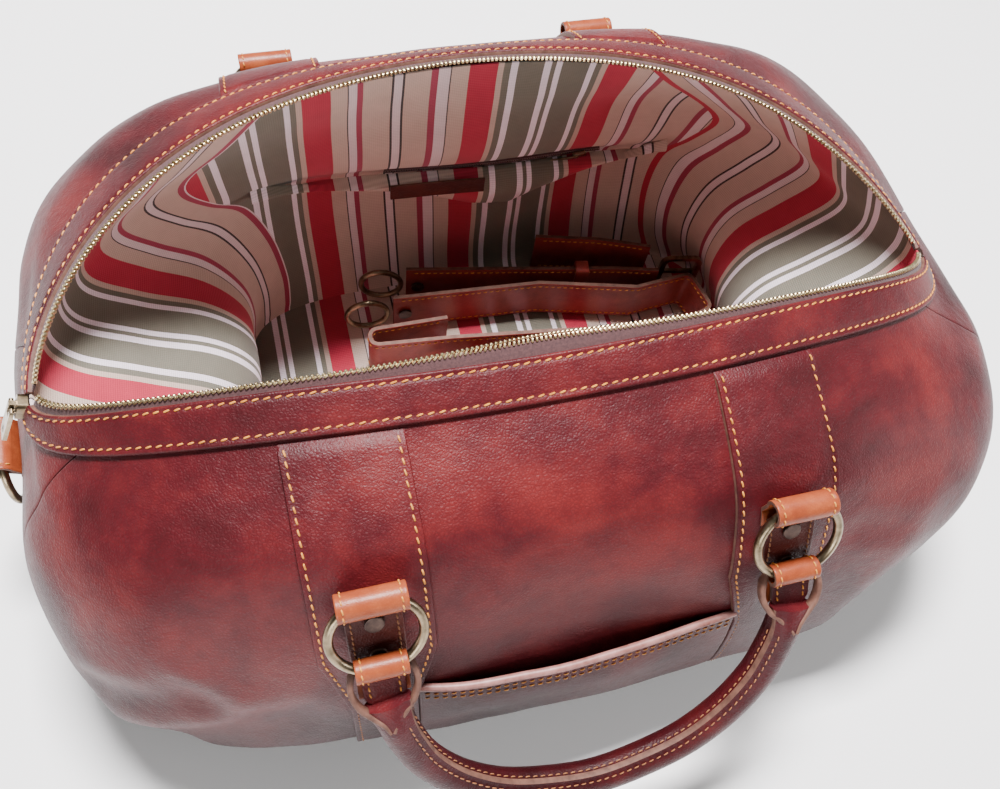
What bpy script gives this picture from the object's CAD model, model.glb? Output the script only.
import bmesh
import bpy
import numpy as np
from mathutils import Matrix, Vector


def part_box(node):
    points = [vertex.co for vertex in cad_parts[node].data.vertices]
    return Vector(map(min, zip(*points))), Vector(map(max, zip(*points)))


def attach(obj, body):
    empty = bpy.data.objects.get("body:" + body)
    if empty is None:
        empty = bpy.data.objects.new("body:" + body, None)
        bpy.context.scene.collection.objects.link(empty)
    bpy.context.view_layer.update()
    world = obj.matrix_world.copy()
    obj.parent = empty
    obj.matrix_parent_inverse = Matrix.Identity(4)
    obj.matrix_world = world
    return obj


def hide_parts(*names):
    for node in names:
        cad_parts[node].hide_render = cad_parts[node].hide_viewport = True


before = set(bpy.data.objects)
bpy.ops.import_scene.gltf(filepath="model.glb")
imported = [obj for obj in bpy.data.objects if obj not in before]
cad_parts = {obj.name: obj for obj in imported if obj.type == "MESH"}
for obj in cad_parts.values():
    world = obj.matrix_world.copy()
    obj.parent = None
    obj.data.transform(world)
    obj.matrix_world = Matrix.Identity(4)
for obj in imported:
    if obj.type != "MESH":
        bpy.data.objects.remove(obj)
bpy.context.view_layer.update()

MM = 0.001
X_AXIS = np.array([1.0, 0, 0])

# ------------------------------------------------------------------ dimensions, in millimetres
LEATHER = 2.4
SIDES = ((-1, "front"), (1, "rear"))
HANDS = ((-1, "left"), (1, "right"))
STRAP_X = 101.0
STRAP_WIDE = 55.0
STRAP_NARROW = 33.0
STRAP_FOOT, STRAP_HEAD = 0.03, 0.885     # ends of a strap, as heights on the shell
SHOULDER_V = 0.56
NARROW_V = 0.44
RING_R = 21.0
CHAPE_WIDE = 31.0
CHAPE_LIFT = 13.6        # from the skin to the axis of a ring loop
CHAPE_TAIL = 32.0
CHAPE_DROP = 3.5
CHAPE_V = {"front": 0.65, "rear": 0.57}
ROLL_R = 5.5             # middle of the strip rolled round a ring
ROLL_UP = 1.8            # the roll sits this far above the line the ring turns about
END_CHAPE_V = 0.42
END_CHAPE_LIFT = 9.6
TAB_WIDE = 24.0
TAB_DROP = 2.0
TAB_ROLL_R = 4.6
TAB_ROLL_UP = -0.8
HANDLE_R = 9.0
HANDLE_REACH = 117.0
HANDLE_SIDES = 40        # faces round the handle
HANDLE_SEAM = np.pi * 0.82
ROW_TURN = 0.36          # angle round the handle from its seam to a stitch row
BAND_V = 7 / 8
END_SLOT = 3.5
TAPE_FAR = 6.6
BAND_ROWS = (3.4, 2.7)    # stitch rows of a band, from its lower and its upper edge
TOOTH_NEAR = 6.6
TOOTH_LONG = 3.6
TOOTH_PITCH = 2.45
STITCH_PITCH = 5.0
STITCH_LONG = 3.3
STITCH_R = 0.48
STRAP_FLOOR = 11.0
STRAP_TALL = 36.0
STRAP_SHEET = 3.2
RIM_SADDLE = 3.5
PANEL_TOP = 0.9
LOOP_TAIL = 46.0
END_LOOP_TAIL = 40.0
BASE_X, BASE_Y, BASE_CORNER = 205, 124, 58
POCKET_LOW, POCKET_TOP, POCKET_HALF = 0.1, 0.46, 84.0
BELT_INSET = 3.2         # from the strap's edges to its stitches
CLOTH_THICK = 0.9
ZIP_LEFT, ZIP_RIGHT, SLIDER_X = -39, 107, 92     # the inner pocket's zip and its slider, along X

# Key rings of the shell: heights of front, rear and ends, middle and half-length along X,
# front and rear depth, place of the ends along Y, corner fullness in front and behind.
SHELL = np.array([
    (3, 3, 3, 0, 205, 124, 124, 0, 4.2, 4.2), (14, 16, 16, 0, 229, 160, 137, 0, 4.4, 4.4),
    (42, 48, 45, 4, 252, 192, 150, -4, 4.3, 4.3), (85, 92, 80, 8, 270, 192, 160, -10, 4.0, 4.0),
    (130, 135, 115, 11, 273, 180, 165, -18, 3.8, 4.2), (168, 172, 143, 10, 264, 164, 165, -24, 3.6, 4.4),
    (196, 198, 160, 6, 250, 142, 151, -28, 3.1, 4.0), (218, 212, 168, 2, 244, 95, 132, -28, 2.3, 2.6),
    (228, 221, 181, 0, 236, 76, 117, -28, 2.0, 2.0)], float)
# The same for the lining, which hangs loosely between the rim and the base.
CLOTH = np.array([
    (8, 8, 8, 24, 170, 103, 118, 2, 6.0, 6.0), (13, 14, 14, 24, 170, 112, 125, 0, 5.5, 5.5),
    (40, 38, 34, 21, 168, 126, 134, -4, 5.0, 5.0), (78, 74, 62, 17, 172, 134, 142, -8, 4.4, 4.6),
    (112, 106, 92, 13, 184, 134, 146, -12, 4.0, 4.4), (146, 132, 122, 8, 204, 126, 136, -18, 3.6, 4.2),
    (180, 158, 150, 5, 222, 112, 124, -24, 3.1, 3.8), (208, 190, 167, 2, 232, 86, 117, -28, 2.3, 2.6),
    (226, 218, 180, 0, 237, 75, 114, -28, 2.0, 2.0)], float)
# Creases and dents of the leather: from, to, half-width, depth (all in mm, positive is a dent).
FOLDS = [
    ((-215, -178, 60), (-150, -190, 95), 20, 5.0), ((-235, -150, 100), (-190, -178, 120), 14, 3.0),
    ((-225, -160, 150), (-160, -176, 100), 10, 1.6), ((-250, -110, 60), (-215, -165, 40), 16, 3.5),
    ((-120, -196, 40), (-60, -196, 62), 16, 2.5), ((60, -180, 120), (-20, -184, 140), 26, 2.5),
    ((205, -150, 130), (180, -185, 70), 16, 2.6), ((245, -110, 120), (225, -160, 70), 14, 3.2),
    ((262, -110, 95), (215, -165, 55), 42, 9.0), ((262, -40, 120), (262, 60, 95), 22, 3.5),
    ((150, -170, 155), (215, -150, 120), 9, 1.2), ((-262, -10, 60), (-256, 60, 110), 20, 3.5),
    ((-180, 160, 100), (-80, 165, 80), 22, 2.0),
    ((120, 165, 80), (200, 150, 120), 18, 3.0), ((0, 168, 120), (60, 166, 150), 20, 2.4)]


# ------------------------------------------------------------------ the soft shell
def level(keys, v):
    """Key ring values blended smoothly at height parameter v, 0 at the base and 1 at the rim."""
    last = len(keys) - 1
    place = np.clip(v, 0, 1) * last
    i = np.minimum(place.astype(int), last - 1)
    f = (place - i)[..., None]
    p, q, r, s = keys[np.maximum(i - 1, 0)], keys[i], keys[i + 1], keys[np.minimum(i + 2, last)]
    return q + 0.5 * f * (r - p + f * (2 * p - 5 * q + 4 * r - s + f * (3 * (q - r) + s - p)))


def skin(v, t, keys=SHELL):
    """Points of a shell at height parameters v and polar angles t (0 right, pi/2 rear)."""
    v, t = np.broadcast_arrays(np.asarray(v, float), np.asarray(t, float))
    zf, zr, ze, x0, a, bf, br, y0, nf, nr = np.moveaxis(level(keys, v), -1, 0)
    c, s = np.cos(t), np.sin(t)
    rear = s > 0
    depth, n = np.where(rear, br - y0, bf + y0), np.where(rear, nr, nf)
    radius = ((np.abs(c) / a) ** n + (np.abs(s) / depth) ** n) ** (-1 / n)
    crown = np.where(rear, zr, zf)
    z = crown - (crown - ze) * np.abs(radius * c / a) ** RIM_SADDLE
    return np.stack([x0 + radius * c, y0 + radius * s, z], -1)


def around(count):
    """Angles of evenly spaced points round a full turn."""
    return np.linspace(0, 2 * np.pi, count, endpoint=False)


def unit(a):
    return a / np.maximum(np.linalg.norm(a, axis=-1, keepdims=True), 1e-9)


def frame_at(v, t, keys=SHELL, step=0.004):
    """Points, outward normals and upward tangents of a shell."""
    v, t = np.broadcast_arrays(np.asarray(v, float), np.asarray(t, float))
    up = unit(skin(np.minimum(v + step, 1), t, keys) - skin(np.maximum(v - step, 0), t, keys))
    along = unit(skin(v, t + step, keys) - skin(v, t - step, keys))
    return skin(v, t, keys), unit(np.cross(along, up)), up


def run_length(points, axis=0):
    """Length along lines of points, counted from their first point."""
    steps = np.linalg.norm(np.diff(points, axis=axis), axis=-1)
    return np.insert(np.cumsum(steps, axis=axis), 0, 0, axis=axis)


def sample(line, run, at):
    """Points of a line at the given lengths along it."""
    return np.stack([np.interp(at, run, line[:, k]) for k in range(line.shape[1])], 1)


def segment_distance(p, a, b):
    a, b = np.array(a, float), np.array(b, float)
    f = np.clip(((p - a) @ (b - a)) / ((b - a) @ (b - a)), 0, 1)
    return np.linalg.norm(p - (a + f[..., None] * (b - a)), axis=-1)


WAVES = np.random.default_rng(7)
WAVE_SET = [(WAVES.normal(size=3), WAVES.uniform(38, 120), WAVES.uniform(0, 6.28)) for _ in range(14)]


def relief(p):
    """How far the leather stands out from the smooth shell: soft waves, creases and dents."""
    total = np.zeros(p.shape[:-1])
    for direction, length, phase in WAVE_SET:
        total += length / 300 * np.sin(p @ (direction / np.linalg.norm(direction)) * 6.283 / length + phase)
    for start, end, wide, deep in FOLDS:
        d = segment_distance(p, start, end) / wide
        total += deep * (0.35 * np.exp(-((d - 1.5) / 0.7) ** 2) - np.exp(-d * d))
    return total


def place(v, t, out, past=0.0):
    """Points a distance out from the creased leather and past the rim along the wall."""
    p, n, up = frame_at(v, t)
    calm = np.clip((0.9 - np.asarray(v, float)) / 0.2, 0.0, 1) * np.clip(np.asarray(v, float) / 0.08, 0, 1)
    stand = (relief(p) * calm)[..., None]
    return p + n * (stand + np.asarray(out, float)[..., None]) + up * np.asarray(past, float)[..., None]


def half_ring(keys, v, side):
    """Middle, half-length, depth and corner fullness of the front (-1) or rear (1) half of a ring."""
    x0, a, bf, br, y0, nf, nr = np.moveaxis(level(keys, np.asarray(v, float)), -1, 0)[3:]
    return (x0, a, br - y0, nr) if side > 0 else (x0, a, bf + y0, nf)


def angle_at_x(v, x, side, keys=SHELL):
    """Polar angle where the front (side -1) or rear (side 1) reaches x."""
    x0, a, depth, n = half_ring(keys, v, side)
    across = x - x0
    return np.arctan2(side * depth * (1 - np.minimum(np.abs(across / a), 1) ** n) ** (1 / n), across)


def angle_at_end(v, reach, end, side, keys=SHELL):
    """Polar angle at an end (1 right, -1 left) where the skin is reach away from the end line."""
    _, a, depth, n = half_ring(keys, v, side)
    return np.arctan2(side * reach, end * a * (1 - (reach / depth) ** n) ** (1 / n))


def spread_angles(v, start, stop, shares, keys=SHELL):
    """Ring angles from start to stop, at the given shares of the length along the skin."""
    fine = start[:, None] + (stop - start)[:, None] * np.linspace(0, 1, 400)
    points = skin(v[:, None], fine, keys)
    run = run_length(points, 1)
    return np.array([np.interp(shares * r[-1], r, f) for r, f in zip(run, fine)])


def seam_corner(gap):
    """Where the seam between a long wall and an end gusset runs, moved by a gap."""
    def corner(v, end, side):
        return angle_at_end(v, 92 - 66 * v + gap, end, side)
    return corner


def band_corner(v, end, side):
    """Where a zip band stops beside the slot at an end."""
    return angle_at_end(v, END_SLOT, end, side)


def side_span(side, corner):
    """Angles from end to end of a long side, for a function that places its corners."""
    def span(v):
        right, left = corner(v, 1, side), corner(v, -1, side)
        return (left, right) if side < 0 else (right, left)
    return span


def end_span(end, corner):
    """Angles from corner to corner of an end wall."""
    def span(v):
        front, rear = corner(v, end, -1), corner(v, end, 1)
        return (front, rear) if end > 0 else (rear, front + 2 * np.pi)
    return span


def eased(count, tight=0.0):
    """Shares from 0 to 1, with extra lines close to both borders."""
    middle = np.linspace(0, 1, count)
    if not tight:
        return middle
    ends = np.array([0.25, 0.6, 1.0, 1.8]) * tight
    return np.unique(np.concatenate([middle[(middle < 1e-9) | (middle > 1 - 1e-9)], ends, 1 - ends,
                                     middle[(middle > 2.2 * tight) & (middle < 1 - 2.2 * tight)]]))


# ------------------------------------------------------------------ mesh building
class Builder:
    """Collects vertices and faces of one piece."""

    def __init__(self):
        self.verts, self.faces, self.groups, self.uvs, self.count = [], [], [], [], 0

    def add(self, points, uv=None):
        points = np.asarray(points, float).reshape(-1, 3)
        self.verts.append(points)
        self.uvs.append(np.zeros((len(points), 2)) if uv is None else np.asarray(uv, float).reshape(-1, 2))
        self.count += len(points)
        return self.count - len(points)

    def quads(self, index, group, wrap_rows=False, wrap_columns=False):
        if wrap_rows:
            index = np.concatenate([index, index[:1]], 0)
        if wrap_columns:
            index = np.concatenate([index, index[:, :1]], 1)
        q = np.stack([index[:-1, :-1], index[:-1, 1:], index[1:, 1:], index[1:, :-1]], -1).reshape(-1, 4)
        self.faces.extend(q.tolist())
        self.groups.extend([group] * len(q))

    def slab(self, top, bottom, groups=(0, 1, 0), uv=None):
        """Closed sheet between two grids."""
        rows, columns = top.shape[:2]
        base = np.arange(rows * columns).reshape(rows, columns)
        upper, lower = self.add(top, uv) + base, self.add(bottom, uv) + base
        self.quads(upper, groups[0])
        self.quads(lower[:, ::-1], groups[2])

        def ring(g):
            return np.concatenate([g[0], g[1:, -1], g[-1, -2::-1], g[-2:0:-1, 0]])
        self.quads(np.stack([ring(lower), ring(upper)]), groups[1], wrap_columns=True)

    def tube(self, rings, group=0, caps=True, uv=None):
        """Closed tube through rings of points."""
        rows, columns = rings.shape[:2]
        index = self.add(rings, uv) + np.arange(rows * columns).reshape(rows, columns)
        self.quads(index, group, wrap_columns=True)
        if caps:
            self.faces.append(index[0, ::-1].tolist())
            self.faces.append(index[-1].tolist())
            self.groups.extend([group, group])

    def piece(self, name, materials, body="root", slot=None, stands_for=(), sharp=38.0):
        mesh = bpy.data.meshes.new(name)
        verts = np.concatenate(self.verts) * MM
        mesh.from_pydata(verts.tolist(), [], self.faces)
        mesh.polygons.foreach_set("material_index", self.groups)
        mesh.polygons.foreach_set("use_smooth", [True] * len(self.faces))
        layer = mesh.uv_layers.new(name="cloth")
        loops = np.zeros(len(mesh.loops), np.int32)
        mesh.loops.foreach_get("vertex_index", loops)
        layer.data.foreach_set("uv", (np.concatenate(self.uvs) * MM)[loops].ravel())
        work = bmesh.new()
        work.from_mesh(mesh)
        bmesh.ops.recalc_face_normals(work, faces=work.faces)
        work.to_mesh(mesh)
        work.free()
        mesh.set_sharp_from_angle(angle=np.radians(sharp))
        for material in materials:
            mesh.materials.append(material)
        obj = bpy.data.objects.new(name, mesh)
        bpy.context.scene.collection.objects.link(obj)
        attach(obj, body)
        if stands_for:
            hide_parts(*stands_for)
        return obj


def sheet(name, materials, top, bottom, groups=(0, 1, 0), uv=None, **settings):
    """One piece that is a closed sheet between two grids."""
    build = Builder()
    build.slab(top, bottom, groups, uv)
    return build.piece(name, materials, **settings)


def rounding(d, r):
    """Height share of a rounded border at distance d from the edge, 0 at the edge and 1 inside."""
    x = np.clip(1 - np.asarray(d, float) / r, 0, 1)
    return np.sqrt(np.maximum(1 - x * x, 0))


def groove(d, at, wide):
    return np.exp(-((d - at) / wide) ** 2)


def resample(points, step, *others):
    """Points at an even step along a line, with other per-point values carried along."""
    run = run_length(points)
    count = max(int(round(run[-1] / step)), 2)
    at = (np.arange(count) + 0.5) * run[-1] / count
    return [sample(values, run, at) for values in (points, *others)]


def line_normals(points, hint):
    """Tangents of a line and normals close to the hinted ones, at right angles to them."""
    tangent = unit(np.gradient(points, axis=0))
    hint = np.broadcast_to(np.asarray(hint, float), points.shape)
    return tangent, unit(hint - tangent * np.sum(hint * tangent, -1, keepdims=True))


def add_stitches(build, points, hint, slant=0.22, pitch=STITCH_PITCH, long=STITCH_LONG, thick=STITCH_R,
                 group=0):
    """A row of thread stitches along a line, each dipping into the leather at both ends."""
    tangent, normal = line_normals(points, hint)
    at, tan, nor = resample(points, pitch, tangent, normal)
    tan, nor = unit(tan), unit(nor)
    side = np.cross(nor, tan)
    run = unit(tan * np.cos(slant) + side * np.sin(slant))
    wide = np.cross(nor, run)
    along = np.array([-1.0, -0.82, -0.4, 0.0, 0.4, 0.82, 1.0])
    size = np.array([0.35, 0.8, 1.0, 1.0, 1.0, 0.8, 0.35])
    rise = np.array([-0.5, 0.15, 0.55, 0.66, 0.55, 0.15, -0.5])
    turn = np.arange(6) * np.pi / 3
    for k in range(len(at)):
        centre = at[k] + run[k] * (along * long / 2)[:, None] + nor[k] * (rise * thick)[:, None]
        across = wide[k] * np.cos(turn)[:, None] + nor[k] * np.sin(turn)[:, None]
        build.tube(centre[:, None, :] + size[:, None, None] * thick * across[None], group)


# ------------------------------------------------------------------ materials
class Paint:
    """Short form for building a node material."""

    def __init__(self, name):
        self.material = bpy.data.materials.new(name)
        self.material.use_nodes = True
        self.tree = self.material.node_tree
        self.shader = self.tree.nodes["Principled BSDF"]

    def node(self, kind, values=None, **settings):
        made = self.tree.nodes.new(kind)
        for key, value in settings.items():
            setattr(made, key, value)
        for key, value in (values or {}).items():
            if isinstance(value, bpy.types.NodeSocket):
                self.tree.links.new(value, made.inputs[key])
            else:
                made.inputs[key].default_value = value
        return made

    def where(self):
        return self.node("ShaderNodeTexCoord").outputs["Object"]

    def noise(self, scale, detail=3.0, rough=0.55, vector=None, distortion=0.0):
        values = {"Scale": scale, "Detail": detail, "Roughness": rough, "Distortion": distortion,
                  "Vector": vector or self.where()}
        return self.node("ShaderNodeTexNoise", values).outputs["Fac"]

    def math(self, operation, a, b=0.0, clamp=False):
        made = self.node("ShaderNodeMath", {0: a, 1: b}, operation=operation, use_clamp=clamp)
        return made.outputs[0]

    def plus(self, a, b, share):
        return self.math("ADD", a, self.math("MULTIPLY", b, share))

    def ramp(self, factor, stops, mode="LINEAR"):
        made = self.node("ShaderNodeValToRGB", {"Fac": factor})
        made.color_ramp.interpolation = mode
        elements = made.color_ramp.elements
        while len(elements) < len(stops):
            elements.new(0.5)
        for element, (position, colour) in zip(elements, stops):
            element.position = position
            element.color = (*colour, 1.0)
        return made.outputs["Color"]

    def mix(self, factor, a, b, blend="MIX"):
        made = self.node("ShaderNodeMix", data_type="RGBA", blend_type=blend)
        for key, value in ((0, factor), (6, a), (7, b)):
            if isinstance(value, bpy.types.NodeSocket):
                self.tree.links.new(value, made.inputs[key])
            else:
                made.inputs[key].default_value = (*value, 1.0) if isinstance(value, tuple) else value
        return made.outputs[2]

    def bump(self, height, strength, distance, normal=None):
        values = {"Height": height, "Strength": strength, "Distance": distance}
        if normal:
            values["Normal"] = normal
        return self.node("ShaderNodeBump", values).outputs["Normal"]

    def finish(self, colour, roughness, normal=None, **fixed):
        for key, value in (("Base Color", colour), ("Roughness", roughness), ("Normal", normal)):
            if isinstance(value, bpy.types.NodeSocket):
                self.tree.links.new(value, self.shader.inputs[key])
            elif value is not None:
                self.shader.inputs[key].default_value = value
        for key, value in fixed.items():
            self.shader.inputs[key.replace("_", " ")].default_value = value
        return self.material


def leather(name, dark, middle, warm, rough=0.47, grain=620.0, depth=0.0005, patch=9.0, coat=0.02,
            foot=None):
    """Smooth-grained pull-up leather with darker and warmer patches, and a darker foot."""
    paint = Paint(name)
    where = paint.where()
    patches = paint.noise(patch, 4.0, 0.6, where, 0.6)
    cloud = paint.noise(patch * 4.2, 5.0, 0.65, where, 0.3)
    blend = paint.plus(paint.math("MULTIPLY", patches, 0.68), cloud, 0.36)
    colour = paint.ramp(blend, [(0.34, dark), (0.5, middle), (0.66, warm)])
    cells = paint.node("ShaderNodeTexVoronoi", {"Vector": where, "Scale": grain},
                       feature="DISTANCE_TO_EDGE").outputs["Distance"]
    pores = paint.math("MULTIPLY", cells, 2.2, True)
    fine = paint.noise(grain * 0.45, 4.0, 0.7, where)
    lines = paint.noise(46.0, 6.0, 0.72, where, 1.4)
    shade = paint.mix(paint.math("MULTIPLY", paint.math("SUBTRACT", 0.5, pores, True), 0.5), colour, dark)
    if foot:
        high = paint.node("ShaderNodeSeparateXYZ", {"Vector": where}).outputs[2]
        fall = paint.ramp(paint.math("MULTIPLY", high, 5.0), [(0.14, foot), (0.72, (1, 1, 1))])
        shade = paint.mix(1.0, shade, fall, "MULTIPLY")
    height = paint.plus(paint.math("MULTIPLY", pores, 0.5), fine, 0.8)
    height = paint.plus(height, lines, 2.6)
    normal = paint.bump(height, 0.55, depth)
    polish = paint.plus(rough - 0.1, fine, 0.2)
    return paint.finish(shade, polish, normal, Specular_IOR_Level=0.24, Coat_Weight=coat,
                        Coat_Roughness=0.32, IOR=1.48)


def plain(name, colours, scale, rough, depth, strength=0.4, metal=0.0, spread=0.12, **fixed):
    """Two-tone surface with fine texture, for edges, thread, metal and board."""
    paint = Paint(name)
    where = paint.where()
    tone = paint.noise(scale, 5.0, 0.62, where)
    colour = paint.ramp(tone, [(0.34, colours[0]), (0.66, colours[1])])
    fine = paint.noise(scale * 6.5, 3.0, 0.6, where)
    polish = paint.plus(rough - spread / 2, fine, spread)
    return paint.finish(colour, polish, paint.bump(fine, strength, depth), Metallic=metal, **fixed)


RED, BEIGE, PINKISH = (0.45, 0.035, 0.065), (0.56, 0.42, 0.35), (0.72, 0.6, 0.61)
WHITE, OLIVE, INK, MAROON = (0.85, 0.76, 0.82), (0.17, 0.16, 0.125), (0.06, 0.05, 0.05), (0.36, 0.06, 0.1)
STRIPE_PERIOD = 172.0
STRIPE_START = -88.0
# Stripes over one period: where each starts, of 193 parts, and its colour.
STRIPES = [(0, RED), (18, BEIGE), (28, INK), (29.2, PINKISH), (34, MAROON), (38, BEIGE), (56, INK),
           (57.4, PINKISH), (63, INK), (64.6, BEIGE), (81, MAROON), (85.5, PINKISH), (93, INK),
           (94.2, BEIGE), (105, RED), (123, BEIGE), (127, OLIVE), (131.5, WHITE), (136, OLIVE),
           (153, WHITE), (157, OLIVE),
           (160, WHITE), (164, OLIVE), (181, WHITE), (185, OLIVE), (188.5, BEIGE)]
STRIPE_PARTS = 193.0


def striped(name):
    """Woven cotton with stripes that run along the cloth's second direction."""
    paint = Paint(name)
    cloth = paint.node("ShaderNodeUVMap", uv_map="cloth").outputs["UV"]
    across = paint.node("ShaderNodeSeparateXYZ", {"Vector": cloth}).outputs[0]
    past = paint.math("SUBTRACT", across, STRIPE_START * MM)
    share = paint.math("FRACT", paint.math("DIVIDE", past, STRIPE_PERIOD * MM))
    colour = paint.ramp(share, [(at / STRIPE_PARTS, tone) for at, tone in STRIPES], "CONSTANT")
    weft = paint.node("ShaderNodeTexWave", {"Vector": cloth, "Scale": 230.0, "Distortion": 0.6},
                      bands_direction="Y").outputs["Fac"]
    warp = paint.node("ShaderNodeTexWave", {"Vector": cloth, "Scale": 260.0, "Distortion": 0.6},
                      bands_direction="X").outputs["Fac"]
    weave = paint.plus(paint.math("MULTIPLY", weft, 0.65), warp, 0.35)
    soft = paint.noise(90.0, 4.0, 0.6)
    shade = paint.plus(0.74, paint.math("ADD", weave, soft), 0.24)
    tone = paint.node("ShaderNodeCombineXYZ", {0: shade, 1: shade, 2: shade}).outputs[0]
    tinted = paint.mix(1.0, colour, tone, "MULTIPLY")
    return paint.finish(tinted, 0.92, paint.bump(weave, 0.5, 0.00025), Sheen_Weight=0.12,
                        Sheen_Roughness=0.5, Specular_IOR_Level=0.15)


BODY = leather("body_leather", (0.022, 0.0015, 0.0028), (0.064, 0.004, 0.0068), (0.135, 0.012, 0.0122),
               foot=(0.2, 0.17, 0.21))
DARK = leather("tail_leather", (0.04, 0.006, 0.005), (0.07, 0.009, 0.006), (0.11, 0.016, 0.008), patch=30.0)
TAN = leather("tan_leather", (0.17, 0.032, 0.012), (0.25, 0.05, 0.017), (0.33, 0.078, 0.026), 0.36, 800.0,
              0.00012, 40.0)
BELT = leather("strap_leather", (0.14, 0.019, 0.02), (0.23, 0.038, 0.032), (0.31, 0.06, 0.045), 0.4, 700.0,
               0.00015, 22.0)
RAW = plain("raw_edge", ((0.07, 0.027, 0.017), (0.15, 0.065, 0.042)), 190.0, 0.7, 0.0002)
PALE = plain("rolled_edge", ((0.2, 0.075, 0.06), (0.36, 0.17, 0.15)), 120.0, 0.45, 0.00015)
THREAD = plain("gold_thread", ((0.42, 0.14, 0.015), (0.68, 0.28, 0.045)), 420.0, 0.5, 0.00015)
DULL_THREAD = plain("brown_thread", ((0.2, 0.07, 0.025), (0.3, 0.12, 0.04)), 420.0, 0.6, 0.00015)
TAPE = plain("zip_tape", ((0.045, 0.016, 0.018), (0.09, 0.035, 0.035)), 900.0, 0.85, 0.0003, 0.8,
             Sheen_Weight=0.15)
BRASS = plain("zip_brass", ((0.45, 0.34, 0.17), (0.82, 0.68, 0.42)), 300.0, 0.3, 0.00008, metal=1.0)
METAL = plain("antique_metal", ((0.1, 0.075, 0.045), (0.36, 0.28, 0.18)), 110.0, 0.3, 0.00008, metal=1.0)
RIVET = plain("dark_rivet", ((0.03, 0.016, 0.013), (0.11, 0.07, 0.055)), 160.0, 0.36, 0.00008, metal=0.7)
BOARD = plain("fibre_board", ((0.08, 0.065, 0.055), (0.15, 0.12, 0.1)), 300.0, 0.85, 0.0002)
CLOTH_PAINT = striped("striped_lining")


# ------------------------------------------------------------------ body panels
def panel(name, span, node, columns=150):
    """One leather wall from the base to under the band, with softly turned borders."""
    v = PANEL_TOP * eased(70, 0.006)
    shares = eased(columns, 0.004)
    t = spread_angles(v, *span(v), shares)
    v = np.broadcast_to(v[:, None], t.shape)
    flat = place(v, t, np.zeros_like(v))
    run = np.linalg.norm(flat[:, -1] - flat[:, 0], axis=-1)[:, None]
    edge = np.minimum(shares, 1 - shares)[None, :] * run * 1.1
    top = place(v, t, 0.8 * rounding(edge, 1.2) - 0.8)
    bottom = place(v, t, np.full(v.shape, -LEATHER - 0.4))
    return sheet(name, [BODY], top, bottom, (0, 0, 0), slot="body_leather", stands_for=[node], sharp=60)


panel("front_leather", side_span(-1, seam_corner(0.1)), "front_panel")
panel("rear_leather", side_span(1, seam_corner(0.1)), "rear_panel")
panel("left_gusset", end_span(-1, seam_corner(-0.1)), "left_end_panel", 50)
panel("right_gusset", end_span(1, seam_corner(-0.1)), "right_end_panel", 50)


def rounded_outline(half_x, half_y, corner, count=24):
    """Outline of a rounded rectangle."""
    turn = np.linspace(0, np.pi / 2, count)
    parts = []
    for k, (sx, sy) in enumerate(((1, 1), (-1, 1), (-1, -1), (1, -1))):
        a = turn + k * np.pi / 2
        parts.append(np.stack([sx * (half_x - corner) + corner * np.cos(a),
                               sy * (half_y - corner) + corner * np.sin(a)], -1))
    return np.concatenate(parts)


def base_panel():
    """Flat leather base with a turned border and a row of stitches."""
    rim = rounded_outline(BASE_X, BASE_Y, BASE_CORNER)
    build = Builder()
    rings = []
    for inset, z in ((190, 3.4), (60, 3.4), (6, 3.4), (0.5, 3.2), (0, 2.4), (0.2, 1.0), (1.4, 0.2), (4, 0),
                     (60, 0), (190, 0)):
        if inset > 20:
            outline = rim * np.array([1 - inset / BASE_X, max(1 - inset / BASE_Y, 0.0)])
        else:
            outline = rounded_outline(BASE_X - inset, BASE_Y - inset, BASE_CORNER - inset)
        rings.append(np.concatenate([outline, np.full((len(rim), 1), z)], 1))
    build.tube(np.array(rings))
    return build.piece("base_leather", [BODY], slot="body_leather", stands_for=["base_panel"])


base_panel()


# ------------------------------------------------------------------ bands, tape and teeth of the zip
gold = Builder()      # every bright stitch on the root body
dull = Builder()      # darker stitches low on the straps

def zip_band(side, word):
    """Leather band along the rim, with a row of stitches near each border."""
    across = eased(22, 0.04)
    v = BAND_V + (1 - BAND_V) * across
    t = spread_angles(v, *side_span(side, band_corner)(v), eased(230, 0.002))
    v = np.broadcast_to(v[:, None], t.shape)
    line = place(v, t, np.zeros_like(v))
    rise = run_length(line)
    width = rise[-1]
    edge = np.minimum(rise, width - rise)
    puff = 0.5 * np.sin(np.pi * rise / width)
    puff -= 0.45 * (groove(rise, BAND_ROWS[0], 0.9) + groove(width - rise, BAND_ROWS[1], 0.9))
    top = place(v, t, 0.5 + 2.2 * rounding(edge + 0.3, 1.3) + puff)
    sheet(f"{word}_band", [BODY, RAW], top, place(v, t, np.full(v.shape, -0.8)), slot="body_leather",
          stands_for=[f"{word}_zip_band"])
    normals = frame_at(v, t)[1]
    for distance in (rise - BAND_ROWS[0], rise - width + BAND_ROWS[1]):
        row = np.argmin(np.abs(distance), axis=0)
        columns = np.arange(t.shape[1])
        upward = unit(np.gradient(line, axis=0)[row, columns])
        near = top[row, columns] - upward * distance[row, columns][:, None]
        add_stitches(gold, near[3:-3], normals[row, columns][3:-3])


def zip_tape(word, t):
    """Woven tape with a corded edge."""
    reach = np.array([-3.0, 0.0, 1.5, 3.0, 4.5, 5.6, 6.2, TAPE_FAR])
    lift = np.array([0.2, 0.2, 0.3, 0.35, 0.4, 0.55, 0.5, 0.2])
    v = np.ones((len(reach), len(t)))
    past = np.broadcast_to(reach[:, None], v.shape)
    top = place(v, t[None] * v, lift[:, None] * v, past)
    bottom = place(v, t[None] * v, np.full(v.shape, -0.7), past)
    sheet(f"{word}_tape", [TAPE], top, bottom, (0, 0, 0), slot="zip_tape", stands_for=[f"{word}_zip_tape"])


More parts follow.
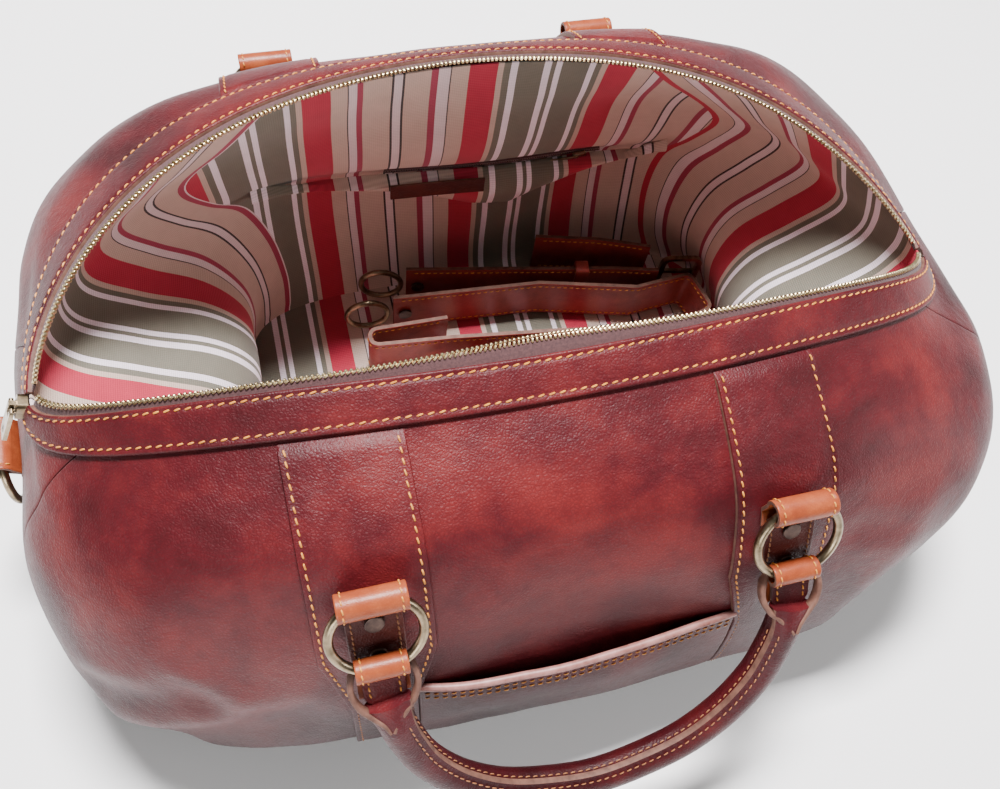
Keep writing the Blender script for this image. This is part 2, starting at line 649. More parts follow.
def zip_teeth(word, t):
    """One waisted metal tooth after another along the tape."""
    seat, normal, up = frame_at(np.ones(len(t)), t)
    at, nor, ups = resample(seat, TOOTH_PITCH, normal, up)
    ups, nor = unit(ups), unit(nor)
    wide = np.cross(nor, ups)
    length = np.array([0.0, 0.06, 0.42, 0.55, 0.68, 0.9, 1.0]) * TOOTH_LONG
    half_wide = np.array([0.45, 0.68, 0.68, 0.55, 0.86, 0.86, 0.5])
    half_thick = np.array([0.9, 1.15, 1.15, 0.9, 1.15, 1.0, 0.6])
    turn = (np.arange(8) + 0.5) * np.pi / 4
    ring_x, ring_y = (np.sign(c) * np.abs(c) ** 0.6 for c in (np.cos(turn), np.sin(turn)))
    build = Builder()
    for k in range(len(at)):
        middle = at[k] + ups[k] * (TOOTH_NEAR - 0.5 + length)[:, None] + nor[k] * 0.2
        build.tube(middle[:, None] + wide[k] * (half_wide[:, None] * ring_x)[..., None]
                   + nor[k] * (half_thick[:, None] * ring_y)[..., None])
    build.piece(f"{word}_teeth", [BRASS], slot="zip_brass", stands_for=[f"{word}_zip_teeth"])


for side, word in SIDES:
    zip_band(side, word)
    ends = side_span(side, band_corner)(np.ones(1))
    rim_angles = spread_angles(np.ones(1), *ends, np.linspace(0, 1, 400))[0]
    zip_tape(word, rim_angles)
    zip_teeth(word, rim_angles)


# ------------------------------------------------------------------ straps and slip pocket
def strap_half(v):
    f = np.clip((SHOULDER_V - v) / (SHOULDER_V - NARROW_V), 0, 1)
    return (STRAP_WIDE + (STRAP_NARROW - STRAP_WIDE) * f) / 2


def on_strap(v, across, side, x):
    """Angles of points a share across from the middle of a strap."""
    return angle_at_x(v, x + across * strap_half(v), side)


def strap(side, word, hand, hand_word):
    """Vertical strap, narrow below its shoulder, sewn along both edges."""
    whole, shoulder = np.linspace(STRAP_FOOT, STRAP_HEAD, 90), np.linspace(NARROW_V, SHOULDER_V, 25)
    v = np.unique(np.concatenate([whole, shoulder]))
    vv, aa = np.meshgrid(v, 2 * eased(19, 0.03) - 1, indexing="ij")
    t = on_strap(vv, aa, side, hand * STRAP_X)
    edge = (1 - np.abs(aa)) * strap_half(vv)
    fade = np.clip((BAND_V - vv) / 0.02, 0, 1)
    height = 0.5 + 2.2 * rounding(edge + 0.25, 0.9) - 0.4 * groove(edge, 3.0, 0.9)
    top = place(vv, t, height * fade - 0.4 * (1 - fade))
    sheet(f"{word}_strap_{hand_word}_leather", [BODY, RAW], top, place(vv, t, np.full(vv.shape, -0.7)),
          slot="body_leather", stands_for=[f"{word}_strap_{hand_word}"])
    for edge_side in (-1, 1):
        line_v = np.linspace(STRAP_HEAD - 0.02, STRAP_FOOT + 0.03, 300)
        share = edge_side * (1 - 3.0 / strap_half(line_v))
        t = on_strap(line_v, share, side, hand * STRAP_X)
        points = place(line_v, t, np.full(300, 2.35))
        normals = frame_at(line_v, t)[1]
        high = line_v > NARROW_V + 0.02
        add_stitches(gold, points[high], normals[high], slant=0.16)
        add_stitches(dull, points[~high], normals[~high], slant=0.1, pitch=3.6, long=2.2, thick=0.38)


for side, word in SIDES:
    for hand, hand_word in HANDS:
        strap(side, word, hand, hand_word)


def pocket():
    """Slip pocket between the narrow straps, standing open along its upper edge."""
    low, high, half = POCKET_LOW, POCKET_TOP, POCKET_HALF
    v = low + (high - low) * eased(40, 0.01)
    x = half * (2 * eased(61, 0.01) - 1)
    vv, xx = np.meshgrid(v, x, indexing="ij")
    t = angle_at_x(vv, xx, -1)
    rise = (vv - low) / (high - low)
    full = (1 - np.abs(xx / half) ** 2.6) * rise ** 1.4
    out = 1.0 + 7.2 * full + 0.8 * np.sin(xx / 17 + 1) * full
    line = place(vv, t, out)
    down = np.linalg.norm(line - line[-1:], axis=-1)
    sewn = 0.4 * groove(down, 4.6, 0.9) + 0.4 * groove(down, 9.0, 0.9)
    top = place(vv, t, out + 1.6 * rounding(half - np.abs(xx) + 0.4, 1.4) - sewn)
    sheet("pocket_leather", [BODY, RAW], top, place(vv, t, out - 0.8), slot="body_leather",
          stands_for=["front_pocket"])
    normals = frame_at(vv, t)[1]
    for distance in (4.6, 9.0):
        row = np.argmin(np.abs(down - distance), axis=0)
        columns = np.arange(len(x))
        gap = (down[row, columns] - distance)[:, None]
        up = unit(top[np.minimum(row + 1, len(v) - 1), columns] - top[row - 1, columns])
        line = top[row, columns] + up * gap
        add_stitches(gold, line[3:-3], normals[row, columns][3:-3], 0.2, 4.4, 2.8, 0.36)
    rim = place(np.full(121, high), angle_at_x(np.full(121, high), np.linspace(-half, half, 121), -1),
                np.interp(np.linspace(-half, half, 121), x, out[-1]))
    tangent, normal = line_normals(rim, (0, -1, 0.3))
    wide = np.cross(tangent, normal)
    turn = around(12)
    ring = 2.0 * (normal[:, None] * np.cos(turn)[:, None] + wide[:, None] * np.sin(turn)[:, None])
    build = Builder()
    build.tube(rim[:, None] + ring + normal[:, None] * 0.4)
    build.piece("pocket_edge", [PALE], slot="body_leather")


pocket()


# ------------------------------------------------------------------ ring loops, tabs and handles
def local_points(origin, across, up, normal, xyz):
    return origin + xyz[..., :1] * across + xyz[..., 1:2] * up + xyz[..., 2:] * normal


def smooth_line(points, step):
    """Line through points, rounded by a Catmull-Rom spline and resampled."""
    p = np.array(points, float)
    p = np.concatenate([[2 * p[0] - p[1]], p, [2 * p[-1] - p[-2]]])
    parts = []
    for a, b, c, d in zip(p, p[1:], p[2:], p[3:]):
        f = np.linspace(0, 1, 20, endpoint=False)[:, None]
        parts.append(b + 0.5 * f * (c - a + f * (2 * a - 5 * b + 4 * c - d + f * (3 * (b - c) + d - a))))
    parts.append(p[-2:-1])
    line = np.concatenate(parts)
    run = run_length(line)
    return sample(line, run, np.linspace(0, run[-1], max(int(run[-1] / step), 8)))


def strip(build, path, place_frame, wide, thick, narrow=0.0, end_round=0.0):
    """Leather strip that follows a path of (up, out) points; the path runs up the back and over."""
    d = unit(np.gradient(path, axis=0))
    side = np.stack([-d[:, 1], d[:, 0]], -1)
    run = run_length(path)
    share = 2 * eased(15, 0.03) - 1
    half = np.full(len(path), wide / 2) - narrow * np.clip(1 - run / 20, 0, 1)
    if end_round:
        half = half * rounding(run + 0.4, end_round)
    edge = (1 - np.abs(share))[None, :] * half[:, None]
    bulge = thick / 2 * rounding(edge + 0.25, 0.9) - 0.3 * groove(edge, 2.8, 0.8)
    x = share[None, :] * half[:, None]
    top = path[:, None] + side[:, None] * bulge[..., None]
    bottom = path[:, None] - side[:, None] * (thick / 2)
    bottom = np.broadcast_to(bottom, top.shape)
    grids = [local_points(*place_frame, np.concatenate([x[..., None], g], -1)) for g in (top, bottom)]
    build.slab(grids[0], grids[1], (0, 1, 0))
    out = local_points(*place_frame, np.concatenate([np.zeros((len(path), 1)), side], -1)) - place_frame[0]
    return grids[0], share, half, out, run


def side_stitches(target, grid, share, half, out, first, last, inset=2.8, pitch=4.2):
    """Rows of stitches near both borders of a strip."""
    for edge_side in (-1, 1):
        want = edge_side * (1 - inset / half)
        points = np.array([[np.interp(want[k], share, grid[k, :, c]) for c in range(3)]
                           for k in range(first, last)])
        add_stitches(target, points, out[first:last], 0.15, pitch, 2.7, 0.42)


def chape_place(v, side):
    """Axis point, across, up and outward directions of the middle between two ring loops."""
    left, left_normal, _ = frame_at(v, angle_at_x(v, -STRAP_X, side))
    right, right_normal, _ = frame_at(v, angle_at_x(v, STRAP_X, side))
    total = left_normal + right_normal
    normal = unit(np.array([0, total[1], total[2]]))
    across = np.array([-side, 0.0, 0.0])
    up = np.cross(normal, across)
    return (left + right) / 2 + normal * CHAPE_LIFT + up * CHAPE_TAIL / 2, across, up, normal


def surface_profile(origin, up, normal, points):
    """Height of surface points above the loop's plane, against their place along it."""
    rel = points - origin
    y, z = rel @ up, rel @ normal
    order = np.argsort(y)
    return y[order], z[order]


def ring_loop(name, place_frame, surface, tail, node):
    """Strip rolled round a ring, coming back as a stitched and riveted tail."""
    origin, _, up, normal = place_frame
    sy, sz = surface_profile(origin, up, normal, surface)

    def ground(y):
        return np.interp(y, sy, sz)
    theta = np.radians(np.linspace(-104, 170, 34))
    roll = np.stack([ROLL_UP + ROLL_R * np.sin(theta), ROLL_R * np.cos(theta)], -1)
    y = np.linspace(-tail, -12.0, 26)
    front_tail = np.stack([y, np.clip(ground(y) + 2.9, -9.2, -7.9)], -1)
    ease = np.array([[-8.5, front_tail[-1, 1] + 0.5]])
    back_y = np.linspace(-3.0, -12.0, 8)
    back = np.stack([back_y, np.minimum(ground(back_y) + 1.0, -ROLL_R - 1.6)], -1)
    build = Builder()
    tail_path = smooth_line(np.concatenate([front_tail[::4], ease, roll[:1]]), 1.2)
    grid, share, half, out, _ = strip(build, tail_path, place_frame, CHAPE_WIDE - 5, 1.9, 0.0, 9.0)
    build.piece(name + "_tail", [DARK, RAW], slot="body_leather")
    build = Builder()
    roll_path = np.concatenate([roll, back])
    rolled, roll_share, roll_half, roll_out, _ = strip(build, roll_path, place_frame, CHAPE_WIDE, 2.0)
    build.piece(name + "_roll", [TAN, RAW], slot="tan_leather", stands_for=[node])
    side_stitches(gold, rolled, roll_share, roll_half, roll_out, 5, 32)
    side_stitches(dull, grid, share, half, out, 6, len(tail_path) - 6, 2.6, 3.4)
    spot = len(tail_path) - 1 - int(np.argmin(np.abs(tail_path[::-1, 0] + tail - 9)))
    return grid[spot, len(share) // 2], out[spot]


def rivet(build, centre, normal, radius=4.6, high=1.8):
    """Low domed rivet cap."""
    helper = np.array([1.0, 0, 0]) if abs(normal[0]) < 0.8 else np.array([0, 1.0, 0])
    a = unit(np.cross(normal, helper))
    b = np.cross(normal, a)
    turn = around(28)
    circle = a * np.cos(turn)[:, None] + b * np.sin(turn)[:, None]
    profile = [(1.0, -0.6), (1.0, 0.35), (0.96, 0.62), (0.84, 0.82), (0.6, 0.94), (0.3, 1.0), (0.04, 1.02)]
    rings = [centre + circle * radius * r + normal * high * h for r, h in profile]
    build.tube(np.array(rings))


def rounded_path(points, radius, step=2.0):
    """Straight runs joined by arcs, sampled evenly."""
    p = np.array(points, float)
    line = [p[0]]
    for a, b, c in zip(p, p[1:], p[2:]):
        u, w = unit(a - b), unit(c - b)
        half = np.arccos(np.clip(u @ w, -1, 1)) / 2
        cut = radius / np.tan(half)
        centre = b + unit(u + w) * radius / np.sin(half)
        start, stop = b + u * cut - centre, b + w * cut - centre
        turn = np.pi - 2 * half
        for f in np.linspace(0, 1, max(int(turn * radius / step), 4)):
            line.append(centre + (np.sin((1 - f) * turn) * start + np.sin(f * turn) * stop) / np.sin(turn))
    line.append(p[-1])
    line = np.array(line)
    run = run_length(line)
    return sample(line, run, np.linspace(0, run[-1], int(run[-1] / step) + 2))


def rolled_handle(word, middle, lean, outward, threads):
    """Rolled leather handle with a sewn ridge, flattened where it meets the rings."""
    side_run = [(0, 21), (2, 32), (6, 48), (14, 68), (29, 88), (50, 104), (75, 113)]
    shape = ([(-STRAP_X + x, -y) for x, y in side_run] + [(0, -HANDLE_REACH)]
             + [(STRAP_X - x, -y) for x, y in side_run[::-1]])
    flat = smooth_line(shape, 2.0)
    line = middle + outward * 2.0 + flat[:, :1] * X_AXIS - flat[:, 1:] * lean
    inward = np.cross(unit(np.gradient(line, axis=0)), outward)
    run = run_length(line)
    from_end = np.minimum(run, run[-1] - run)
    turn = around(HANDLE_SIDES)
    bend = np.angle(np.exp(1j * (turn - HANDLE_SEAM)))
    open_end = np.clip(1 - from_end / 16, 0, 1) ** 1.5
    wide = HANDLE_R + 2.4 * open_end
    deep = HANDLE_R - 3.4 * open_end
    ridge = 1.3 * np.exp(-(bend / 0.13) ** 2) - 0.5 * np.exp(-((np.abs(bend) - ROW_TURN) / 0.1) ** 2)
    build = Builder()
    build.tube(line[:, None] + inward[:, None] * ((wide[:, None] + ridge) * np.cos(turn))[..., None]
               + outward * ((deep[:, None] + ridge) * np.sin(turn))[..., None])
    for k in np.flatnonzero(np.abs(bend) < 0.14):
        for row in range(len(line) - 1):
            build.groups[row * HANDLE_SIDES + k] = 1
    build.piece(f"{word}_handle_leather", [BODY, RAW], f"{word}_handle", "body_leather", [f"{word}_handle"])
    inside = from_end > 14
    for a in (HANDLE_SEAM + ROW_TURN, HANDLE_SEAM - ROW_TURN):
        points = line + inward * (HANDLE_R * np.cos(a)) + outward * (HANDLE_R * np.sin(a))
        hint = inward[inside] * np.cos(a) + outward * np.sin(a)
        add_stitches(threads, points[inside], hint, 0.1, 4.2, 2.6, 0.36)


def handle_tab(word, hand, hand_word, here, threads):
    """Leather tab that wraps a ring and holds one end of the handle."""
    body = f"{word}_handle"
    theta = np.radians(np.linspace(-125, 200, 34))
    roll = np.stack([TAB_ROLL_UP + TAB_ROLL_R * np.sin(theta), TAB_ROLL_R * np.cos(theta)], -1)
    front_tail = [(-24.0, 0.8), (-17.0, 0.0), (-11.5, -1.2), (-8.0, -2.2)]
    build = Builder()
    tail_path = smooth_line(np.array([*front_tail, tuple(roll[0])]), 1.2)
    grid, share, half, out, _ = strip(build, tail_path, here, TAB_WIDE - 4, 2.0, 0.0, 8.0)
    side_stitches(threads, grid, share, half, out, 4, len(tail_path) - 3, 3.0, 3.6)
    build.piece(f"{word}_tab_tail_{hand_word}", [BODY, RAW], body, "body_leather")
    build = Builder()
    back = np.array([(-9.0, -4.2), (-15.0, -3.6), (-21.0, -3.2)])
    roll_path = np.concatenate([roll, smooth_line(np.concatenate([roll[-1:], back]), 1.5)[1:]])
    grid, share, half, out, _ = strip(build, roll_path, here, TAB_WIDE, 2.0)
    side_stitches(threads, grid, share, half, out, 4, 30, 2.8, 3.9)
    stands = [f"{word}_handle_tab_{hand_word}"] + ([f"{word}_handle_rivets"] if hand < 0 else [])
    build.piece(f"{word}_tab_roll_{hand_word}", [TAN, RAW], body, "tan_leather", stands)


def handle_collar(word, hand_word, here):
    """Raw-edged collar of the handle round a tab, closing in a V."""
    build = Builder()
    spin = around(14)
    square_x, square_z = (np.sign(c) * np.abs(c) ** 0.65 * size
                          for c, size in ((np.cos(spin), 1.5), (np.sin(spin), 2.6)))
    for edge_side in (-1, 1):
        x = np.array([11.8, 14.6, 15.2, 12.6, 7.6, 3.2, 0.8]) * edge_side
        y = np.array([-1.5, -7.5, -14.0, -20.5, -25.5, -29.5, -34.0])
        z = np.array([-3.6, -1.2, 1.4, 3.8, 6.0, 8.2, 10.4])
        path = smooth_line(np.stack([x, y, z], -1), 1.2)
        tangent = unit(np.gradient(path, axis=0))
        side_way = unit(np.cross(tangent, np.array([0, 0, 1.0])))
        up_way = np.cross(side_way, tangent)
        shrink = np.interp(np.arange(len(path)), [0, 4, len(path) - 6, len(path) - 1], [0.6, 1, 1, 0.5])
        ring = (path[:, None] + side_way[:, None] * (square_x * shrink[:, None])[..., None]
                + up_way[:, None] * ((square_z - 1.0) * shrink[:, None])[..., None])
        build.tube(local_points(*here, ring))
    build.piece(f"{word}_collar_{hand_word}", [RAW], f"{word}_handle", "body_leather")


def handle(word, middle, lean, side):
    """A handle with its tabs, collars and stitches; lean is the way it hangs."""
    across = -side * X_AXIS
    outward = np.cross(across, -lean)
    threads, fine_threads = Builder(), Builder()
    rolled_handle(word, middle, lean, outward, fine_threads)
    for hand, hand_word in HANDS:
        here = (middle + X_AXIS * hand * STRAP_X, across, -lean, outward)
        handle_tab(word, hand, hand_word, here, threads)
        handle_collar(word, hand_word, here)
    threads.piece(f"{word}_handle_stitches", [THREAD], f"{word}_handle")
    fine_threads.piece(f"{word}_seam_stitches", [DULL_THREAD], f"{word}_handle")


extra_rivets = Builder()
for side, word, lean in ((-1, "front", (0, -0.5, -0.866)), (1, "rear", (0, 0.10, -1.0))):
    middle, across, up, normal = chape_place(CHAPE_V[word], side)
    for hand, hand_word in HANDS:
        x = hand * STRAP_X
        heights = np.linspace(0.3, 0.8, 60)
        surface = place(heights, angle_at_x(heights, x, side), np.full(60, 2.6))
        here = (middle + np.array([x, 0, 0]), across, up, normal)
        node = f"{word}_chape_{hand_word}"
        spot, out = ring_loop(f"{word}_loop_{hand_word}", here, surface, LOOP_TAIL, node)
        rivet(extra_rivets, spot - out * 0.3, out, 4.2)
    ring_low = middle - up * (RING_R - CHAPE_DROP) - up * (RING_R - TAB_DROP)
    handle(word, ring_low, unit(np.array(lean)), side)

for end, word in HANDS:
    angle = 0.0 if end > 0 else np.pi
    point, normal, up = frame_at(END_CHAPE_V, angle)
    normal = unit(np.array([normal[0], 0, normal[2]]))
    across = np.array([0.0, end, 0.0])
    up = np.cross(normal, across)
    heights = np.linspace(0.12, 0.7, 60)
    surface = place(heights, np.full(60, angle), np.zeros(60))
    here = (point + normal * END_CHAPE_LIFT + up * CHAPE_TAIL / 2, across, up, normal)
    spot, out = ring_loop(f"{word}_end_loop", here, surface, END_LOOP_TAIL, f"{word}_end_chape")
    rivet(extra_rivets, spot - out * 0.3, out, 4.2)
extra_rivets.piece("lower_rivets", [RIVET], slot="antique_metal")


# ------------------------------------------------------------------ lining
SAG, SAG_Z = 9.0, 132.0   # how far the rear wall hangs inward, and the height where it does


def cloth_grid(v, t):
    """Points of the hanging lining, with soft folds."""
    p, n, _ = frame_at(v, t, CLOTH)
    free = np.clip(v / 0.12, 0, 1) * np.clip((1 - v) / 0.12, 0, 1)
    fold = 2.4 * np.sin(p[..., 1] / 21 + p[..., 2] / 34 + 1.0) * np.sin(p[..., 0] / 47 + 0.6)
    fold += 2.0 * np.sin(p[..., 0] / 26 - p[..., 2] / 29) * np.sin(p[..., 2] / 38)
    sag = np.exp(-((p[..., 2] - SAG_Z) / 26.0) ** 2) * np.clip((p[..., 1] - 90) / 20, 0, 1)
    fold -= SAG * sag * np.clip((190 - np.abs(p[..., 0])) / 60, 0, 1)
    for at, size, amount in (((-160, 50, 60), 45, -14), ((190, 20, 70), 50, -10), ((40, 140, 60), 42, -7),
                             ((-90, 140, 70), 38, 4), ((-190, -40, 95), 40, -8)):
        fold += amount * np.exp(-np.sum((p - np.array(at, float)) ** 2, -1) / size ** 2)
    return p + n * (fold * free)[..., None], n


END_STRIPES = 0.85       # the stripes of the end walls are gathered by this much


def cloth_panel(name, span, node, by_y, columns, offset=0.0):
    """One wall of the lining; stripes run down it, counted along x or along y."""
    v = np.linspace(0, 1, 70)
    shares = np.linspace(0, 1, columns)
    t = spread_angles(v, *span(v), shares, CLOTH)
    vv = np.broadcast_to(v[:, None], t.shape)
    top, n = cloth_grid(vv, t)
    if by_y:
        rim = skin(np.ones(columns), t[-1], CLOTH)
        run = run_length(rim)
        order = np.argsort(rim[:, 1])
        run = np.abs(run - np.interp(0, rim[order, 1], run[order])) * np.sign(rim[:, 1])
        count = np.broadcast_to(run * END_STRIPES, t.shape)
    else:
        count = skin(vv, t, CLOTH)[..., 0]
    uv = np.stack([count + offset, run_length(top)], -1)
    return sheet(name, [CLOTH_PAINT], top, top + n * CLOTH_THICK, (0, 0, 0), uv, slot="striped_lining",
                 stands_for=[node], sharp=60)


def cloth_corner(v, end, side):
    """Angle of the seam between a long wall and an end wall of the lining."""
    k = level(CLOTH, v)
    depth = k[:, 6] - k[:, 7] if side > 0 else k[:, 5] + k[:, 7]
    return angle_at_end(v, depth * (0.95 - 0.06 * v), end, side, CLOTH)


cloth_panel("front_cloth", side_span(-1, cloth_corner), "lining_front", False, 120)
cloth_panel("rear_cloth", side_span(1, cloth_corner), "lining_rear", False, 120)
cloth_panel("left_cloth", end_span(-1, cloth_corner), "lining_left_end", True, 110, 19.0)
cloth_panel("right_cloth", end_span(1, cloth_corner), "lining_right_end", True, 110, 40.0)


def cloth_floor():
    """Lining of the base, as wide as the walls' lower edge."""
    t = np.linspace(-np.pi, np.pi, 161)[:-1]
    rim = skin(np.zeros_like(t), t, CLOTH)
    centre = np.array([22.0, 8.0, 8.0])
    shares = np.linspace(0.02, 1.02, 30)
    top = centre + (rim - centre)[None] * shares[:, None, None]
    top[..., 2] = 8.2 + 0.7 * np.sin(top[..., 0] / 33) * np.sin(top[..., 1] / 27)
    lower = top - np.array([0, 0, 1.2])
    rings = np.concatenate([top, lower[::-1]])
    uv = np.stack([rings[..., 0] + 3.0, rings[..., 1]], -1)
    build = Builder()
    build.tube(rings, uv=uv)
    return build.piece("floor_cloth", [CLOTH_PAINT], slot="striped_lining", stands_for=["lining_base"],
                       sharp=60)


cloth_floor()


def pocket_zip():
    """Welt and teeth of the pocket in the rear lining; returns their line, height and directions."""
    box_low, box_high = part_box("inner_pocket_welt")
    z_mid = (box_low.z + box_high.z) / 2 / MM
    x = np.linspace(ZIP_LEFT, ZIP_RIGHT, 90)
    heights = np.linspace(0.2, 0.9, 400)
    column = skin(heights[:, None], angle_at_x(heights[:, None], x[None, :], 1, CLOTH), CLOTH)
    v = np.array([np.interp(z_mid, column[:, k, 2], heights) for k in range(len(x))])
    rows = np.array([-3.6, -3.2, -1.4, -1.0, 1.0, 1.4, 3.2, 3.6])
    lift = np.array([0.0, 0.9, 0.9, 0.1, 0.1, 0.9, 0.9, 0.0])
    t = angle_at_x(v, x, 1, CLOTH)
    p, n = cloth_grid(v, t)
    up = frame_at(v, t, CLOTH)[2]
    bottom = p[None] + up[None] * rows[:, None, None]
    top = bottom - n[None] * (0.6 + lift)[:, None, None]
    sheet("pocket_welt", [TAPE], top, bottom, (0, 0, 0), slot="zip_tape", stands_for=["inner_pocket_welt"])
    teeth = Builder()
    add_stitches(teeth, p - n * 0.9, -n, 1.57, 1.6, 1.9, 0.42)
    teeth.piece("pocket_teeth", [METAL], slot="zip_brass", stands_for=["inner_pocket_zip"])
    return x, v.mean(), p, n, up


def pocket_bag(v):
    """The pocket's bag, which hangs free below the zip to a slanting edge, and its leather patch."""
    x = np.linspace(-124, 150, 110)
    lowest = np.interp(x, [-124, -76, -32, 17, 45, 79, 118, 150], [128, 116, 102, 84, 80, 93, 111, 127])
    down = np.linspace(0, 1, 24)[:, None]
    hang = cloth_grid(np.full(110, v), angle_at_x(np.full(110, v), x, 1, CLOTH))[0]
    z = hang[:, 2] - 4.0 + (lowest - hang[:, 2] + 4.0) * down
    ripple = 1.5 * np.sin(x / 19 + 3 * down) * down
    y = hang[:, 1] - 1.0 - 7.0 * np.sin(np.pi * down ** 0.8) + ripple - 3 * down
    wide = np.broadcast_to(x, z.shape)
    bag = np.stack([wide, y, z], -1)
    sheet("pocket_bag", [CLOTH_PAINT], bag, bag + np.array([0, CLOTH_THICK, 0]), (0, 0, 0),
          np.stack([wide, -z], -1), slot="striped_lining", sharp=60)
    patch_x = -6 + 31 * (2 * eased(15, 0.02) - 1)
    rows = 6 + 6.2 * (2 * eased(9, 0.05) - 1)
    patch_z = np.interp(patch_x, x, hang[:, 2])[None] - 4.0 - rows[:, None]
    patch_y = np.broadcast_to(np.interp(patch_x, x, y.min(axis=0)), patch_z.shape)
    face = np.stack([np.broadcast_to(patch_x, patch_z.shape), patch_y - 1.8, patch_z], -1)
    sheet("pocket_patch", [DARK, RAW], face, face + np.array([0, 1.4, 0]), slot="strap_leather")


def pocket_slider(origin, out, up):
    """Slider of the pocket's zip, with its long pull."""
    across = np.cross(up, out)
    across = unit(across * np.sign(across[0]))
    rise = np.cross(out, across)
    build = Builder()
    for middle, half_x, half_y, low, high in ((0, 4.5, 2.8, 0.0, 2.4), (-11, 10.5, 2.0, 2.4, 3.5)):
        outline = rounded_outline(half_x, half_y, 1.5, 6)
        rings = []
        for size, height in ((0.9, low), (1.0, low + 0.3), (1.0, high - 0.3), (0.9, high)):
            along = across * (outline[:, :1] * size + middle)
            rings.append(origin + along + rise * outline[:, 1:] * size + out * height)
        build.tube(np.array(rings))
    build.piece("pocket_slider", [METAL], "inner_pocket_slider", "zip_brass", ["inner_pocket_slider"])


zip_x, zip_v, zip_points, zip_normals, zip_up = pocket_zip()
pocket_bag(zip_v)
k = int(np.argmin(np.abs(zip_x - SLIDER_X)))
pocket_slider(zip_points[k] - zip_normals[k] * 2.1, -zip_normals[k], zip_up[k])


# ------------------------------------------------------------------ shoulder strap, coiled inside
belt_threads = Builder()


def upright(name, points, radius, low, tall, thick, node):
    """Strap standing on its edge along a path, with turned edges and stitch rows."""
    line = rounded_path(points, radius, 1.6)
    tangent = unit(np.gradient(line, axis=0))
    out = np.stack([tangent[:, 1], -tangent[:, 0]], -1)
    z = low + tall * eased(15, 0.03)
    edge = np.minimum(z - low, low + tall - z)
    half = thick / 2 * (0.55 + 0.45 * rounding(edge + 0.2, 1.1)) - 0.3 * groove(edge, BELT_INSET, 0.8)
    grids = []
    for sign in (1, -1):
        xy = line[None] + sign * out[None] * half[:, None, None]
        grids.append(np.concatenate([xy, np.broadcast_to(z[:, None, None], (*xy.shape[:2], 1))], -1))
    obj = sheet(name, [BELT, RAW], *grids, body="shoulder_strap", slot="strap_leather", stands_for=[node])
    for sign in (-1, 1):
        for height in (low + BELT_INSET, low + tall - BELT_INSET):
            xy = line + sign * out * (thick / 2 - 0.25)
            points3 = np.concatenate([xy, np.full((len(xy), 1), height)], 1)
            hint = np.concatenate([sign * out, np.zeros((len(xy), 1))], 1)
            add_stitches(belt_threads, points3[3:-3], hint[3:-3], 0.12, 4.4, 3.0, 0.45)
    return obj


LONG_PATH = [(-43, 84), (60, 78), (128, 62), (170, 66), (176, 36), (140, 26), (60, 38), (-10, 46),
             (-64, 50), (-64, 62), (-10, 62)]
SHORT_PATH = [(-29.5, 105.6), (50, 92), (118, 80), (148, 73)]
TAIL_PATH = [(66, 113), (110, 103), (146, 90)]
PAD_PATH = [(-22, 31), (8, 26), (76, 20), (124, 12)]
upright("belt_long", LONG_PATH, 5.5, STRAP_FLOOR, STRAP_TALL, STRAP_SHEET, "shoulder_strap_long")
upright("belt_short", SHORT_PATH, 60.0, STRAP_FLOOR, STRAP_TALL, STRAP_SHEET, "shoulder_strap_short")
upright("belt_tail", TAIL_PATH, 80.0, STRAP_FLOOR + 6, STRAP_TALL, STRAP_SHEET, "shoulder_strap_tail")
pad = upright("belt_pad", PAD_PATH, 60.0, STRAP_FLOOR, STRAP_TALL + 3, 6.0, "shoulder_pad")
belt_threads.piece("belt_stitches", [THREAD], "shoulder_strap")


def keeper():
    """Leather loop that holds the free end of the strap."""
    low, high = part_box("strap_keeper")
    centre = np.array([(low.x + high.x), (low.y + high.y), (low.z + high.z)]) / 2 / MM
    way = unit(np.array([0.985, -0.174, 0]))
    across = np.array([0.174, 0.985, 0])
    profile = rounded_outline(5.0, (high.z - low.z) / 2 / MM, 2.0, 6)
    inner = rounded_outline(3.3, (high.z - low.z) / 2 / MM - 1.8, 1.0, 6)
    rings = []
    for outline, along in ((profile, -4.6), (profile * 1.02, -4.0), (profile * 1.02, 4.0), (profile, 4.6),
                           (inner, 4.6), (inner, -4.6)):
        upward = np.array([0, 0, 1.0]) * outline[:, 1:]
        rings.append(centre + way * along + across * outline[:, :1] + upward)
    rings = np.array(rings)
    build = Builder()
    index = build.add(rings) + np.arange(rings.shape[0] * rings.shape[1]).reshape(rings.shape[:2])
    build.quads(index, 0, wrap_rows=True, wrap_columns=True)
    build.piece("belt_keeper", [BELT], "shoulder_strap", "strap_leather", ["strap_keeper"])


keeper()
gold.piece("bright_stitches", [THREAD])
dull.piece("dark_stitches", [DULL_THREAD])

# ------------------------------------------------------------------ finishes of the CAD metal and board
METAL_NODES = ["front_chape_rivets", "rear_chape_rivets", "end_chape_rivets", "front_ring_left",
               "front_ring_right", "rear_ring_left", "rear_ring_right", "left_end_ring", "right_end_ring",
               "zip_slider", "zip_pull", "strap_ring_a", "strap_ring_b", "strap_buckle", "buckle_prong",
               "strap_rivets"]
for name in METAL_NODES:
    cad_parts[name].data.materials.clear()
    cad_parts[name].data.materials.append(RIVET if "rivets" in name else METAL)
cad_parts["base_board"].data.materials.clear()
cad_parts["base_board"].data.materials.append(BOARD)

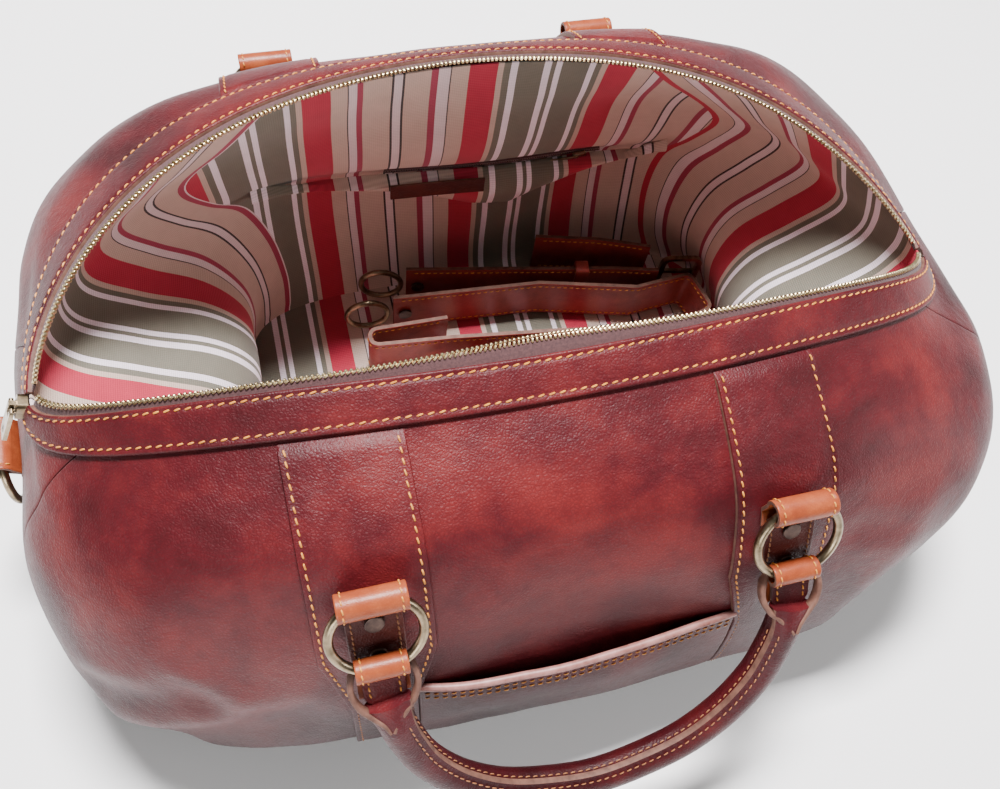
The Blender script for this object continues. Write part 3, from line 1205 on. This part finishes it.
# ------------------------------------------------------------------ floor, light and camera
FLOOR_HALF = 6.0
floor = bpy.data.meshes.new("floor")
floor.from_pydata([(-FLOOR_HALF, -FLOOR_HALF, 0), (FLOOR_HALF, -FLOOR_HALF, 0), (FLOOR_HALF, FLOOR_HALF, 0),
                   (-FLOOR_HALF, FLOOR_HALF, 0)], [], [(0, 1, 2, 3)])
floor_paint = Paint("pale_floor")
floor.materials.append(floor_paint.finish((1.0, 1.0, 1.0, 1), 0.8, Specular_IOR_Level=0.1))
floor_obj = bpy.data.objects.new("floor", floor)
bpy.context.scene.collection.objects.link(floor_obj)

world = bpy.data.worlds.new("studio")
world.use_nodes = True
world.node_tree.nodes["Background"].inputs["Color"].default_value = (1.0, 0.99, 0.98, 1)
world.node_tree.nodes["Background"].inputs["Strength"].default_value = 0.19
bpy.context.scene.world = world


def area_light(name, where, target, size, power, tint=(1, 1, 1)):
    data = bpy.data.lights.new(name, "AREA")
    data.shape = "RECTANGLE"
    data.size, data.size_y = size
    data.energy = power
    data.color = tint
    obj = bpy.data.objects.new(name, data)
    bpy.context.scene.collection.objects.link(obj)
    obj.location = where
    aim = np.array(target, float) - np.array(where, float)
    back = -unit(aim)
    right = unit(np.cross(np.array([0, 0, 1.0]) if abs(back[2]) < 0.99 else np.array([0, 1.0, 0]), back))
    up = np.cross(back, right)
    turn = np.stack([right, up, back], 1)
    obj.matrix_world = Matrix([[*turn[r], where[r]] for r in range(3)] + [[0, 0, 0, 1]])


area_light("key", (0.0, 0.45, 1.9), (0, -0.05, 0.1), (0.6, 0.35), 140, (1.0, 0.97, 0.98))
area_light("fill", (-0.8, -1.7, 0.55), (0, 0, 0.1), (1.2, 0.5), 18)
area_light("side", (1.7, -0.8, 0.7), (0, 0, 0.1), (0.8, 0.5), 12)

PITCH, HEADING, ROLL = np.radians([61.57, 24.76, -11.9])
EYE = np.array([-113.458, -271.754, 593.798])
forward = np.array([np.sin(HEADING) * np.cos(PITCH), np.cos(HEADING) * np.cos(PITCH), -np.sin(PITCH)])
level_right = np.array([np.cos(HEADING), -np.sin(HEADING), 0])
level_down = np.cross(forward, level_right)
right = np.cos(ROLL) * level_right + np.sin(ROLL) * level_down
down = -np.sin(ROLL) * level_right + np.cos(ROLL) * level_down
lens = bpy.data.cameras.new("camera")
lens.sensor_width = 36.0
lens.lens = 34.2
lens.clip_start, lens.clip_end = 0.01, 50
camera = bpy.data.objects.new("camera", lens)
bpy.context.scene.collection.objects.link(camera)
turn = np.stack([right, -down, -forward], 1)
camera.matrix_world = Matrix([[*turn[r], EYE[r] * MM] for r in range(3)] + [[0, 0, 0, 1]])
bpy.context.scene.camera = camera
